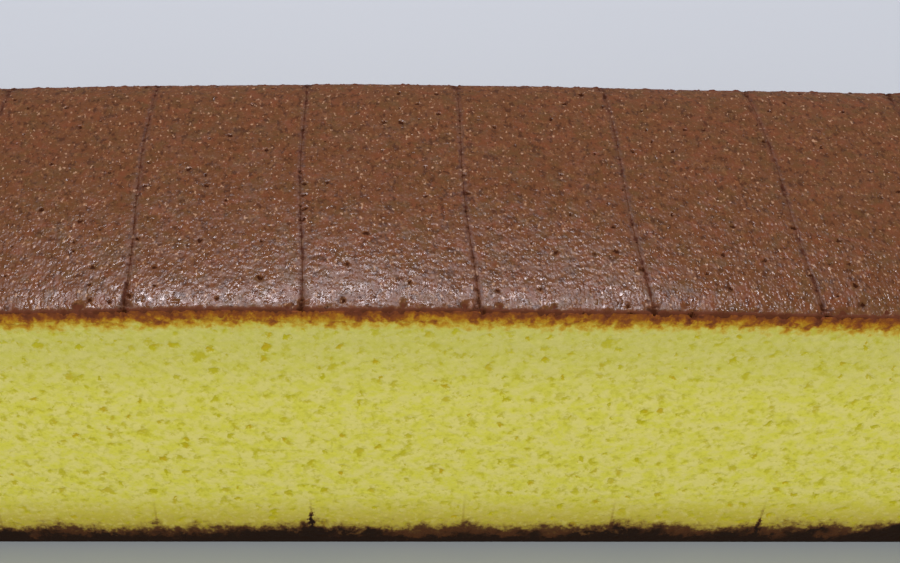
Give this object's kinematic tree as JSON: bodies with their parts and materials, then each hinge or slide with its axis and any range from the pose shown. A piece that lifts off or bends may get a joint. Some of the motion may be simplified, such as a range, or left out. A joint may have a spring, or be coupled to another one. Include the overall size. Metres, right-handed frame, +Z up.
{
  "type": "castella sponge cake loaf",
  "caption": "Long castella sponge loaf with a brown top crust and yellow crumb, cut into upright slices that stand together.",
  "frame": {"origin": "centre of the loaf's flat base crust, on the surface that it stands on", "axes": "+X along the loaf across its slices, towards the right as seen from the front; +Y from front to back along each cut; +Z up, from base crust to top crust"},
  "size_m": [0.275, 0.061, 0.0609],
  "materials": {
    "castella_sponge": "soft matt crumb with brown crusts"
  },
  "bodies": {
    "root": {"slice_01": "castella_sponge", "slice_02": "castella_sponge", "slice_03": "castella_sponge", "slice_04": "castella_sponge", "slice_05": "castella_sponge", "slice_06": "castella_sponge", "slice_07": "castella_sponge", "slice_08": "castella_sponge", "slice_09": "castella_sponge", "slice_10": "castella_sponge"}
  },
  "joints": []
}
